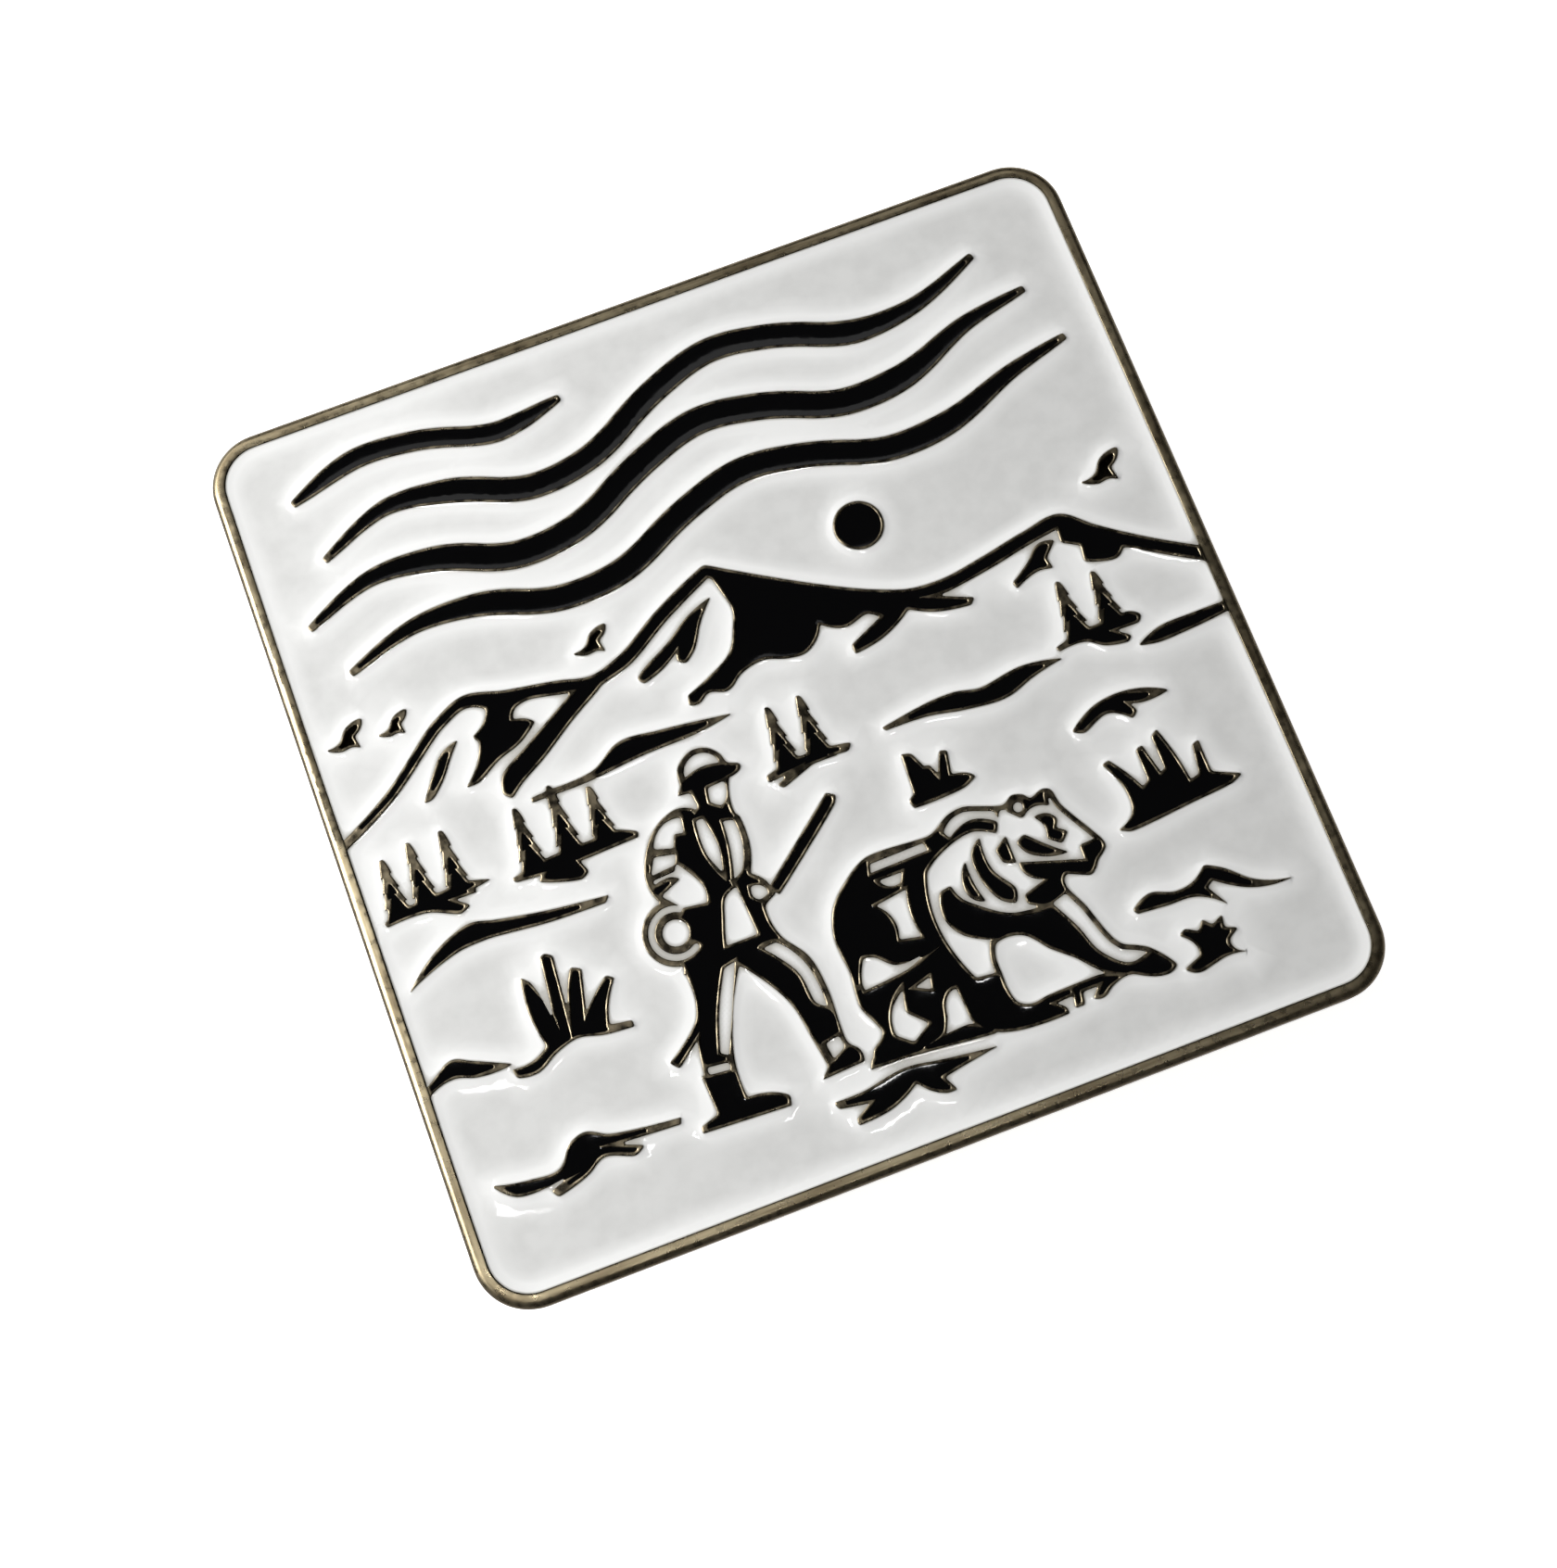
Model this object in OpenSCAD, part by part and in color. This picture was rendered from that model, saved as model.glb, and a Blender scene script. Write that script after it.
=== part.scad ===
// Enamel pin badge: a square die-struck plate with a landscape in black and white soft enamel,
// held on cloth by two posts with butterfly clutches.
// Millimetres. Origin at the centre of the flat back, +Z out of the face, +Y up the picture.

/* [Badge plate] */
// Side of the square badge
badge_side = 38.1; // [25:0.1:60]
// Thickness of the plate at its rim
badge_t = 1.6; // [1.2:0.1:3]
// Radius of the badge's corners
corner_r = 2.3; // [1:0.1:5]
// Width of the raised metal rim
rim_w = 0.6; // [0.4:0.05:1.5]
// Depth of the enamel cells below the rim
cell_depth = 0.5; // [0.3:0.05:0.7]
// Width of the raised metal line around a black cell
line_w = 0.12; // [0.1:0.02:0.2]

/* [Enamel] */
// How far the enamel lies below the metal lines
enamel_drop = 0.1; // [0.05:0.01:0.2]
// Clearance between the enamel and the metal walls
enamel_gap = 0.01; // [0.005:0.005:0.03]
// Narrowest black cell that can be filled
cell_min = 0.14; // [0.1:0.02:0.3]

/* [Posts] */
// Distance between the two posts
post_spacing = 19; // [14:0.5:24]
// Length of a post below the back of the badge, tip included
post_len = 7.6; // [6:0.1:10]
// Radius of the post's shank
post_r = 0.6; // [0.45:0.05:0.8]
// Length of plain post between the badge and the ring cut
root_len = 2.1; // [1:0.1:2.1]
// Length of the pointed tip
tip_len = 1.3; // [0.8:0.1:2]
// Radius of the post's flange
flange_r = 2.1; // [1.5:0.1:3]
// Thickness of the post's flange
flange_t = 0.25; // [0.2:0.05:0.4]
// Thickness of the solder under and around the flange
solder_t = 0.06; // [0.04:0.01:0.15]

/* [Clutches] */
// Gap between the badge's back and a clutch, where the cloth goes
cloth_gap = 2.2; // [2.1:0.1:4]
// Radius of the clutch cup
cup_r = 5.5; // [4.5:0.1:7]
// Thickness of the sheet that the cup and the spring are stamped from
sheet_t = 0.3; // [0.25:0.05:0.4]
// Radial clearance of the cup's hole over the post
hole_gap = 0.15; // [0.1:0.05:0.3]
// Clearance between the spring and the cup
spring_gap = 0.12; // [0.08:0.02:0.2]
// Gap between a closed jaw and the post
jaw_gap = 0.05; // [0.03:0.01:0.1]
// Height of the wing tips above the cup's cloth side
wing_h = 5.6; // [5:0.1:7]
// Width of a wing
wing_w = 6; // [5:0.1:7]
// Distance of a wing's bend from the post
bend_y = 2.8; // [2.5:0.1:3.2]

/* [Hidden] */
$fn = 48;

art_side = 38.1;                        // the picture is drawn for a badge of this side
art_scale = badge_side / art_side;
floor_z = badge_t - cell_depth;         // bottom of the enamel cells
enamel_t = cell_depth - enamel_drop;
web = 0.01;                             // gaps and metal thinner than twice this go
web_join = 0.003;                       // and lines that touch at a point join
pocket_r = flange_r + solder_t;
pocket_d = flange_t + solder_t;
hole_r = post_r + hole_gap;
base_w = sheet_t + spring_gap;          // height of the spring's base over the cup's cloth side
bend_r = sheet_t / 2 + 0.1;             // radius of the rolled bend at a wing's foot
bend_w = base_w + bend_r;               // height of the bend's centre
cross_w = bend_w + 1.8;                 // height at which the two wings cross at the post
side_gap = 0.3;                         // between the two wings where one passes through the other
far = 60;                               // larger than the badge
tiers = 4;                              // tiers of branches on a tree

groove_r = post_r * 0.65;               // waist that a closed jaw snaps into
groove_z = -(post_len - tip_len - 0.5);
point_r = 0.1;
ring_cut = 0.5;                         // width of the ring cut below the post's root

lip_w = base_w + sheet_t + spring_gap;
cup_h = lip_w + sheet_t;
lip_r = cup_r - 1.1;                    // inner radius of the lip that is rolled over the spring
edge_cut = 0.2;

spring_r = cup_r - sheet_t - spring_gap;
spring_eye = hole_r + sheet_t + 0.65;   // opening in the middle of the spring, round the cup's collar
bend_gap = 0.06;                        // clearance round a wing's foot
foot_w = wing_w + 2 * bend_gap;
rise = (cross_w - bend_w) / bend_y;     // slope of a wing at its foot
// How far the spring's opening for a foot reaches from the bend towards the post
foot_in = bend_gap + max(bend_r, (sheet_t + sheet_t / 2 * sqrt(1 + rise * rise) - bend_r) / rise);

jaw_r = post_r + jaw_gap;
jaw_y = 0.5;                            // straight part of a jaw's edge, from the post's axis
slot_end = 1.7;                         // far end of the opening round the post
outer_opening = 4;                      // width of the opening that the narrow wing passes through
inner_w = outer_opening - 2 * side_gap; // width of the narrow wing inside it
narrow_y = 1.9;                         // the narrow wing is full width beyond this
tip_y = 4.5;
tip_corner = 1.8;

// ---------- helpers for outlines ----------

// A smooth curve through hand-set points, n steps between neighbours
function curve_at(p0, p1, p2, p3, t) = 0.5 * (2 * p1 + (p2 - p0) * t
    + (2 * p0 - 5 * p1 + 4 * p2 - p3) * t * t + (3 * p1 - p0 - 3 * p2 + p3) * t * t * t);
function smooth_open(p, n) = let (m = len(p) - 1)
    [for (i = [0:m - 1], k = [0:n - 1])
        curve_at(p[max(i - 1, 0)], p[i], p[i + 1], p[min(i + 2, m)], k / n), p[m]];
function smooth_closed(p, n) = let (m = len(p))
    [for (i = [0:m - 1], k = [0:n - 1])
        curve_at(p[(i + m - 1) % m], p[i], p[(i + 1) % m], p[(i + 2) % m], k / n)];

function heading(p, i) = let (d = p[min(i + 1, len(p) - 1)] - p[max(i - 1, 0)]) d / norm(d);
function edge(p, w, side) = [for (i = [0:len(p) - 1])
    let (d = heading(p, i), t = i / (len(p) - 1), k = w[0] + (w[1] - w[0]) * min(1, 5 * t) + (w[2] - w[1]) * max(0, 5 * t - 4))
    p[i] + side * k / 2 * [-d[1], d[0]]];
function flip(p) = [for (i = [len(p) - 1:-1:0]) p[i]];

// A stroke along a path. w is its width at the start, over the middle and at the end
module ribbon(p, w) polygon(concat(edge(p, w, 1), flip(edge(p, w, -1))));
module stroke(p, w, n = 1) ribbon(smooth_open(p, n), w);
module blob(p, n = 2) polygon(smooth_closed(p, n));

// ---------- the picture, in the plane of the face ----------

// Wind: four long waving lines across the sky
module gust(p, w) stroke(p, [0.3, w, 0.3], 3);
module scroll_ink() {
    gust([[-16, 15.4], [-13, 16.4], [-10, 16.2], [-7, 15.4], [-4, 15.9]], 0.9);
    gust([[-15.5, 12.6], [-12.5, 13.9], [-9.5, 13.6], [-6.5, 12.6], [-3.5, 13], [-0.5, 14.6], [2.5, 15.6],
          [5.5, 15.2], [8.5, 14.2], [11.5, 14.4], [14.5, 15.6]], 1.1);
    gust([[-17, 10], [-14, 11.2], [-11, 11], [-8, 10], [-5, 10.3], [-2, 11.8], [1, 12.8], [4, 12.4],
          [7, 11.4], [10, 11.6], [13, 12.8], [16, 13.4]], 1.2);
    gust([[-16, 7.6], [-13, 8.6], [-10, 8.5], [-7, 7.6], [-4, 7.8], [-1, 9.2], [2, 10.1], [5, 9.7],
          [8, 8.8], [11, 9], [14, 10.1], [16.8, 10.8]], 1.1);
}
module sun_ink() translate([5.7, 6.1]) circle(1.05, $fn = 28);

module bird(at, s) translate(at) scale(s)
    polygon([[-0.75, -0.05], [-0.2, 0.05], [0.1, 0.45], [0.8, 0.65], [0.65, 0.3], [0.35, 0.1],
             [0.45, -0.4], [0.1, -0.25], [-0.15, -0.3]]);
module birds() {
    bird([-17.1, 4.95], 1.15);
    bird([-15.1, 4.8], 0.95);
    bird([-6.4, 5.2], 1.1);
    bird([15.9, 4.6], 1.3);
}

// Centre line of the skyline, from the left rim to the right rim
skyline = [[-18.8, 0.7], [-16.2, 2.1], [-13.3, 4.3], [-12.1, 4.8], [-10.4, 4.4], [-8.2, 4],
           [-6.8, 3.7], [-5.4, 4.1], [-3.2, 5.4], [-0.9, 6.5], [1.3, 5.1], [3.2, 4], [5.2, 3],
           [6.6, 2.5], [8, 2.4], [10, 2.7], [12, 3.1], [13.5, 3.3], [14.6, 2.4], [16.3, 1.2],
           [18.8, -0.3]];

module ridge_ink() {
    stroke(skyline, [0.35, 0.6, 0.6]);
    // shade of the left peak, its foot and the gully beside it
    polygon([[-12, 4.7], [-11.3, 4.2], [-11.5, 3.8], [-12.2, 3.3], [-12, 3], [-12.3, 2.3], [-13.1, 1.4],
             [-12.6, 1.4], [-11.5, 2], [-10.4, 2.4], [-9.6, 3], [-9.8, 3.2], [-10.4, 3.4], [-10.2, 3.8],
             [-9.2, 4.1]]);
    polygon([[-7.2, 4], [-8, 3.5], [-10.2, 2.2], [-11.6, 1.3], [-11.8, 0.6], [-11.5, 0.3], [-11, 0.7],
             [-9.8, 1.4], [-8, 2.6], [-6.8, 3.3], [-6.2, 3.7]]);
    polygon([[-12.8, 3.4], [-13.6, 3.1], [-14.2, 2.4], [-14.9, 1.4], [-14.6, 1.4], [-13.9, 2],
             [-13.3, 2.8]]);
    // shade of the main peak with its ragged foot
    polygon([[-0.9, 6.5], [-0.6, 5.4], [-0.45, 4.5], [-0.7, 3.8], [-1.1, 3], [-2.4, 2.2], [-3.4, 1.8],
             [-3.5, 1.4], [-3.1, 1.3], [-2.6, 1.6], [-1.8, 1.4], [-1, 1.9], [0, 2.1], [1, 1.8],
             [1.7, 1.75], [2.3, 2.1], [2.7, 2.7], [3.6, 2.2], [4.7, 2.4], [5.1, 2.1], [3.6, 1.4],
             [3.6, 1], [4.8, 1.2], [6.3, 2], [7.3, 1.5], [8.8, 1.25], [9, 1.5], [7.4, 2.2],
             [5.2, 3], [1.3, 5.1]]);
    polygon([[-1.1, 5.4], [-2.2, 5], [-3.4, 4.2], [-4.7, 3.5], [-5.1, 3.2], [-4.9, 2.9], [-4, 3.2],
             [-3.2, 3.7], [-3.3, 3.3], [-3, 3.1], [-2.5, 3.5], [-1.8, 4.6]]);
    // shade of the right peak
    polygon([[13.3, 3.3], [13.2, 2.4], [13.9, 2], [13.8, 1.3], [14.3, 1.1], [15.2, 1], [15.5, 1.3],
             [16.7, 0.7], [17, 0.9], [14.6, 2.5]]);
    polygon([[13, 2.6], [12.3, 2.7], [11.6, 2.1], [10.7, 1.5], [10.8, 1.2], [11.9, 1.6], [12.5, 1.5],
             [12.4, 2]]);
}

// Low strokes that mark the folds of the ground
module hill_ink() {
    polygon([[-10.8, 0.05], [-8, 0.25], [-6.8, 0.95], [-5, 0.85], [-3, 0.6], [-2, 0.45], [-3.4, 0.2],
             [-6, 0.1], [-8.6, -0.15], [-10.8, -0.15]]);
    polygon([[3.5, -2.3], [5.8, -1.95], [6.8, -1.95], [7.7, -2.15], [9.8, -1.9], [11.4, -2.2],
             [10, -2.5], [8.8, -2.9], [7, -2.8], [5.4, -2.5], [3.6, -2.45]]);
    polygon([[14.5, -2.8], [15.4, -2.4], [17.2, -2.3], [18.8, -2.3], [18.8, -2.7], [16.8, -2.9],
             [15.2, -2.95]]);
    polygon([[-17.9, -5.7], [-17, -4.9], [-15.7, -4.15], [-14.7, -3.9], [-13.9, -4.1], [-11.8, -4.5],
             [-9.2, -4.8], [-9.4, -5.05], [-11.6, -5], [-14.4, -4.75], [-15.4, -4.8]]);
    polygon([[-18.8, -9.7], [-18, -9.2], [-17.2, -8.8], [-16.5, -9.1], [-15, -9.8], [-16.5, -9.8],
             [-17.3, -9.55], [-18.8, -9.95]]);
    polygon([[-17.3, -14], [-15.8, -14.3], [-14.6, -14.3], [-13.9, -13.5], [-13.3, -13.3],
             [-12.4, -13.7], [-9.5, -14.1], [-9.6, -14.35], [-12.2, -14.2], [-11.2, -14.6],
             [-11.6, -14.85], [-12.9, -14.5], [-13.6, -14.9], [-15, -15.3], [-15.2, -15],
             [-14.3, -14.7], [-16.6, -14.7]]);
    polygon([[10.6, -5.2], [11.8, -4.5], [13.1, -4.35], [14.9, -4.95], [13.7, -5.05], [13.2, -4.9],
             [13.4, -5.3], [13.1, -5.55], [12.3, -5], [11, -5.4]]);
    polygon([[10.1, -12.8], [10.9, -12.4], [12, -12.7], [12.7, -12.6], [13.4, -12.1], [14.1, -12.5],
             [15, -13.3], [16.5, -13.8], [14.8, -13.6], [13.5, -12.8], [13.2, -13], [13.7, -13.9],
             [12.7, -13.2], [11.4, -13.1], [10.2, -13]]);
    polygon([[-3.7, -15.7], [-2.6, -15.7], [-0.5, -15.4], [0.8, -15.6], [3.1, -15.9], [1.2, -16.2],
             [0.7, -16.3], [1, -16.9], [0.6, -16.9], [-0.4, -16.1], [-1.6, -16.7], [-3.1, -16.85],
             [-3.1, -16.6], [-2.4, -16.2], [-3.6, -16]]);
}

// A spruce, its foot at y = 0
module tree(at, h, w) translate(at) {
    right = [for (k = [1:tiers]) each
        [[w * (0.1 + 0.4 * k / tiers), h * (0.98 - k / tiers)], [w * (0.02 + 0.32 * k / tiers), h * (1.03 - k / tiers)]]];
    left = [for (p = flip(right)) [-p[0], p[1] - h * 0.05]];
    polygon(concat([[0.08, h], [0.16, h * 0.92]], right, [[w * 0.5, -0.1], [-w * 0.5, -0.1]], left, [[-0.08, h]]));
}
module tree_ink() {
    for (t = [[-17.3, 2.5], [-16.1, 2.8], [-14.7, 2.8]]) tree([t[0], -2.7], t[1], 1.25);
    polygon([[-18, -2.7], [-17, -2.4], [-14.4, -2.2], [-13.4, -2.5], [-15, -2.8], [-14.5, -3.2],
             [-14.9, -3.4], [-16.2, -2.9], [-17.9, -2.9]]);
    for (t = [[-11.6, 2.7], [-10, 3.1], [-8.5, 2.5]]) tree([t[0], -2.8], t[1], 1.3);
    polygon([[-12.6, -2.8], [-11, -2.5], [-8, -2.4], [-7.2, -2.8], [-7.3, -3], [-9.8, -3.1],
             [-9.6, -3.6], [-9.9, -3.8], [-11.6, -3.3], [-11.4, -3.1], [-12.5, -3]]);
    for (t = [[-0.6, 2.8], [0.75, 2.8]]) tree([t[0], -2.6], t[1], 1.3);
    polygon([[-1.6, -2.5], [-0.4, -2.2], [1, -2.2], [2.1, -2.4], [1.9, -2.7], [0.6, -2.6], [-1.1, -3.2],
             [-1.3, -3], [-0.6, -2.7], [-1.6, -2.8]]);
    for (t = [[12.4, 2.6], [13.9, 2.5]]) tree([t[0], -1.7], t[1], 1.35);
    polygon([[11.3, -1.7], [12.4, -1.4], [14.6, -1.3], [15.1, -1.6], [14.9, -1.9], [13.9, -1.9],
             [14.4, -2.3], [14.2, -2.5], [13.2, -2.3], [12.6, -1.9], [11.4, -1.9]]);
}

module grass_ink() {
    polygon([[-15.1, -10], [-15, -10.4], [-14.2, -10.5], [-13.2, -10], [-12.3, -9.75], [-11.2, -10],
             [-10, -10.1], [-10, -9.85], [-10.9, -9.7], [-10.7, -9], [-10.1, -8], [-10.4, -7.8],
             [-11.1, -8.4], [-11.6, -8.9], [-11.2, -7.2], [-11.6, -7], [-12, -7.8], [-12.3, -8.8],
             [-12.1, -6.3], [-12.4, -6.1], [-12.6, -6.2], [-12.9, -8.8], [-13.3, -7], [-13.6, -6.7],
             [-13.75, -8.2], [-13.5, -9.6], [-14.3, -10]]);
    polygon([[3.4, -5.5], [3.5, -5.85], [5.8, -5.75], [6.3, -5.5], [6.1, -5.3], [5.4, -5.1],
             [5.6, -4.1], [5.3, -4], [4.9, -4.9], [4.7, -4.4], [4.5, -4.4], [4.2, -3.7], [3.8, -3.6],
             [3.7, -5.3]]);
    polygon([[10.8, -9.6], [11.6, -9.1], [11.7, -8.3], [11.2, -6.9], [11.5, -6.8], [12.1, -7.7],
             [12.4, -8.3], [12.7, -8.1], [12.7, -6.8], [13, -6.7], [13.3, -8], [13.5, -7.9],
             [13.5, -6.5], [13.8, -6.3], [14.1, -7.4], [14.3, -8.7], [14.7, -8.6], [14.9, -7.4],
             [15.2, -7.3], [15.2, -8.7], [16.3, -9.2], [15.9, -9.4], [14, -9.6], [11.2, -9.8]]);
    polygon([[11.1, -15.7], [11.9, -15.4], [11.9, -15], [11.4, -14.4], [11.7, -14.2], [12.2, -14.5],
             [12.5, -14.1], [12.8, -14.45], [13.3, -14.2], [13.2, -14.7], [13.7, -14.9], [13.2, -15.2],
             [13.2, -15.5], [13.7, -15.9], [12.8, -15.8], [12.3, -15.9], [11.5, -16]]);
}

// ---------- the walker: one silhouette with white cells cut into it ----------

module hiker_shape() {
    blob([[-5, -1.7], [-4.9, -1], [-4.5, -0.6], [-4, -0.4], [-3.4, -0.55], [-3, -1], [-2.9, -1.4],
          [-2.4, -1.6], [-2.7, -1.95], [-4, -2.05], [-5.2, -2]]);
    polygon([[-4.7, -1.9], [-4.6, -2.7], [-5.1, -3], [-4.9, -3.8], [-3.3, -3.8], [-3.3, -2.9], [-3, -1.9]]);
    blob([[-4.8, -2.7], [-6, -2.6], [-7, -3.4], [-7.6, -4.7], [-7.4, -5.8], [-6.7, -6.6], [-5.4, -6.8],
          [-4.6, -4.8]]);
    translate([-7.2, -7.2]) circle(1.35, $fn = 24);
    polygon([[-5.3, -3], [-3.7, -3], [-3.2, -3.6], [-3.2, -4.9], [-3.6, -6], [-3.1, -6.5], [-2.9, -7.1],
             [-3.5, -7.4], [-3.5, -8.2], [-3.3, -8.9], [-7.5, -8.9], [-6.6, -7.6]]);
    blob([[-7.4, -8.5], [-5.2, -8.5], [-3.4, -8.7], [-2.6, -9.9], [-2.35, -11.4], [-2.4, -13.1],
          [-3.6, -13.1], [-3.9, -11.5], [-4.6, -10.2], [-5.3, -9.3], [-6.2, -11], [-6.8, -13],
          [-8.1, -13], [-7.9, -11.6], [-7.4, -10]], 1);
    polygon([[-8.2, -12.9], [-6.8, -12.9], [-6.8, -14.3], [-5.7, -14.5], [-5.2, -14.8], [-5.3, -15.2],
             [-8.9, -15], [-8.9, -14.75], [-8.1, -14.5]]);
    polygon([[-3.6, -13], [-2.4, -13], [-2.35, -13.7], [-2, -14.1], [-2, -14.6], [-3.8, -14.7],
             [-3.4, -14.3]]);
}
module hiker_cells() {
    polygon([[-4.7, -1.4], [-4.6, -1], [-4, -0.62], [-3.4, -0.8], [-3.15, -1.3], [-4, -1.2]]);
    polygon([[-4, -2.1], [-3.25, -2.05], [-3.45, -2.8], [-3.7, -3], [-4.1, -2.7]]);
    // rucksack
    polygon([[-5.4, -2.85], [-6.1, -2.85], [-6.9, -3.7], [-6.1, -3.95], [-5.9, -3.4], [-5.5, -3.5]]);
    polygon([[-7, -4], [-7.35, -4.7], [-6.2, -4.6], [-5.5, -5.9], [-5.6, -6.5], [-6.6, -6.35],
             [-7.25, -5.6], [-6.3, -5.2], [-6.6, -5], [-7.35, -5.1], [-7.35, -4.9], [-6.4, -4.85],
             [-6.1, -4.2]]);
    // bedroll
    difference() {
        translate([-7.2, -7.2]) circle(1.12, $fn = 20);
        translate([-7.2, -7.2]) circle(0.85, $fn = 16);
        polygon([[-7.2, -7.2], [-6, -5.5], [-4, -7.2], [-6, -8.5]]);
    }
    translate([-7.2, -7.2]) circle(0.55, $fn = 14);
    // coat, sleeve and hand
    polygon([[-4.9, -3.2], [-4.6, -3.2], [-4.4, -4.6], [-4.6, -5.6], [-4.95, -4.7]]);
    polygon([[-3.9, -3.6], [-3.45, -3.7], [-3.45, -4.7], [-3.9, -5.8], [-4.3, -6], [-4, -4.8]]);
    polygon([[-4.8, -6.5], [-4.3, -6.3], [-4.15, -8.4], [-5.5, -8.4], [-5.2, -7.4]]);
    polygon([[-3.8, -6.5], [-3.35, -6.6], [-3.15, -7], [-3.6, -7.15], [-3.85, -6.9]]);
    // trouser legs, socks and toe
    polygon([[-5.4, -9.1], [-5.9, -9.2], [-6.7, -10.8], [-7.2, -12.3], [-6.9, -12.5], [-6.3, -11.2]]);
    polygon([[-4.2, -9], [-3.6, -8.95], [-2.9, -9.9], [-2.6, -11.2], [-2.6, -12.1], [-2.95, -11.8],
             [-3.2, -10.4], [-3.7, -9.6]]);
    polygon([[-7.9, -12.65], [-7, -12.75], [-7, -13.05], [-7.9, -12.95]]);
    polygon([[-3.2, -13.4], [-2.6, -13.3], [-2.5, -13.8], [-3.1, -14.1]]);
}
module staff_shape() {
    polygon([[-3.1, -6.8], [0.4, -4], [0.75, -4.2], [0.6, -4.5], [-2.8, -7.2]]);
    polygon([[-7.5, -10.6], [-9.2, -11.95], [-8.9, -12.3], [-7.6, -11.3]]);
}
module hiker_ink() {
    difference() {
        hiker_shape();
        hiker_cells();
    }
    staff_shape();
}

// ---------- the bear, made in the same way ----------

module bear_shape()
    blob([[-1.4, -9.7], [-1, -8.5], [-0.2, -7.7], [0.9, -7.05], [2.4, -7.05], [3.7, -7.1],
          [4.5, -6.65], [5.3, -6.5], [6.2, -6.8], [6.9, -7], [7.3, -6.75], [7.8, -6.9], [8, -7.15],
          [8.5, -6.95], [8.9, -7.1], [9, -7.7], [9.4, -8.5], [9.9, -9.4], [10.1, -10], [9.6, -10.4],
          [9.1, -10.9], [8.2, -10.5], [8, -11], [8.4, -11.9], [8.8, -13.2], [9.2, -13.9], [10, -14.3],
          [10.9, -15.4], [10.1, -15.6], [9, -15.1], [8.1, -14.7], [7.3, -13.8], [6.4, -13],
          [5.7, -12.2], [4.5, -12.1], [4.3, -13.3], [4.5, -14.6], [5.8, -15.1], [6.2, -15.7],
          [4, -15.6], [3, -15.2], [2.5, -14.6], [2.4, -13.2], [1.8, -13.6], [1.4, -14.7], [0, -14.9],
          [-1.5, -14.9], [-1.5, -14.3], [-0.9, -13.8], [-1.4, -12.6], [-1.3, -11.2]], 2);
module bear_cells() {
    polygon([[1, -7.35], [3.3, -7.3], [3.4, -7.65], [0.9, -7.7]]);
    polygon([[1.1, -8.1], [2.1, -8.1], [1.9, -8.5], [1.3, -8.4]]);
    polygon([[0.6, -9], [2, -8.8], [1.8, -9.8], [1.9, -10.8], [1, -10.6], [1.1, -9.8]]);
    polygon([[-0.6, -10.8], [-0.2, -10.9], [0.5, -11.5], [1.8, -11.5], [1, -11.8], [-1, -12], [-1, -11.7]]);
    polygon([[0.9, -12.6], [1.6, -12.4], [1.5, -12.9]]);
    polygon([[-0.5, -14.1], [-0.2, -13], [0.4, -12.5], [0.2, -13.4], [0.9, -14.1], [0.1, -14.6]]);
    difference() {
        intersection() {
            offset(delta = -0.2) bear_shape();
            union() {
                polygon([[3, -8.5], [5.4, -7.6], [6.2, -8], [6.7, -7], [8.1, -7.4], [9.3, -7], [11, -9.5],
                         [9.1, -9.6], [9.1, -10.2], [6.6, -9.4], [6.6, -9.8], [7.3, -10.4], [6.3, -10.7],
                         [6.3, -11.1], [6.9, -11.4], [5.6, -11.2], [4.4, -10.4], [3.9, -9.9],
                         [3.7, -9.3], [3.2, -9.4], [3, -10.6], [3.4, -11.3], [4.6, -12], [4.5, -12.6],
                         [4.2, -13.2], [3.3, -13.1], [2.7, -11.2], [2.7, -9.6]]);
                polygon([[7.2, -11.4], [7.9, -11.2], [9, -11.4], [9, -14], [10.6, -14.4], [9.3, -14.7],
                         [8.3, -13.9], [7.8, -12.6]]);
                polygon([[4.2, -7.2], [5.2, -6.4], [6.4, -6.7], [6.5, -7.6], [5.4, -7.1], [4.4, -7.5]]);
            }
        }
        // dark bands of the coat, the ears and the eye
        polygon([[5, -8.3], [5.5, -7.9], [5.5, -9.3], [6.1, -10.4], [5.9, -10.9], [5.4, -10.6], [4.9, -9.4]]);
        polygon([[4.6, -8.6], [4.2, -9.3], [4.3, -10.1], [4.8, -10.4], [4.6, -9.5]]);
        polygon([[5.9, -8.6], [6.5, -8.2], [6.5, -9.4], [6, -9.2]]);
        polygon([[6.8, -8.6], [7.2, -8.4], [7.9, -9.1], [8.6, -9.7], [7.8, -9.6], [7, -9.1]]);
        polygon([[7.8, -7.9], [8.5, -8], [8.7, -8.3], [8.5, -8.6], [8.9, -8.9], [8.5, -9.3], [8, -8.9],
                 [8.1, -8.4]]);
        polygon([[6.9, -7.3], [7.4, -7.8], [8, -7.5], [8.6, -7.7], [8.7, -7], [7.8, -7], [7.3, -6.6]]);
    }
    translate([7.4, -7.3]) circle(0.22, $fn = 8);
}
module bear_ink() {
    difference() {
        bear_shape();
        bear_cells();
    }
    // roots and shade on the ground below it
    polygon([[-1.7, -14.6], [0, -14.8], [2.4, -14.7], [3.4, -15.2], [3.2, -15.4], [0, -15.1], [-1.9, -15]]);
    polygon([[4.4, -14.9], [5.6, -14.75], [7.9, -14.7], [9.2, -15.1], [8.2, -15.3], [7.7, -15.6],
             [7.3, -15.5], [7.7, -15.1], [7, -15.1], [6.9, -15.6], [6.5, -15.6], [6.6, -15.1],
             [5.2, -15.2]]);
}

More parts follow.
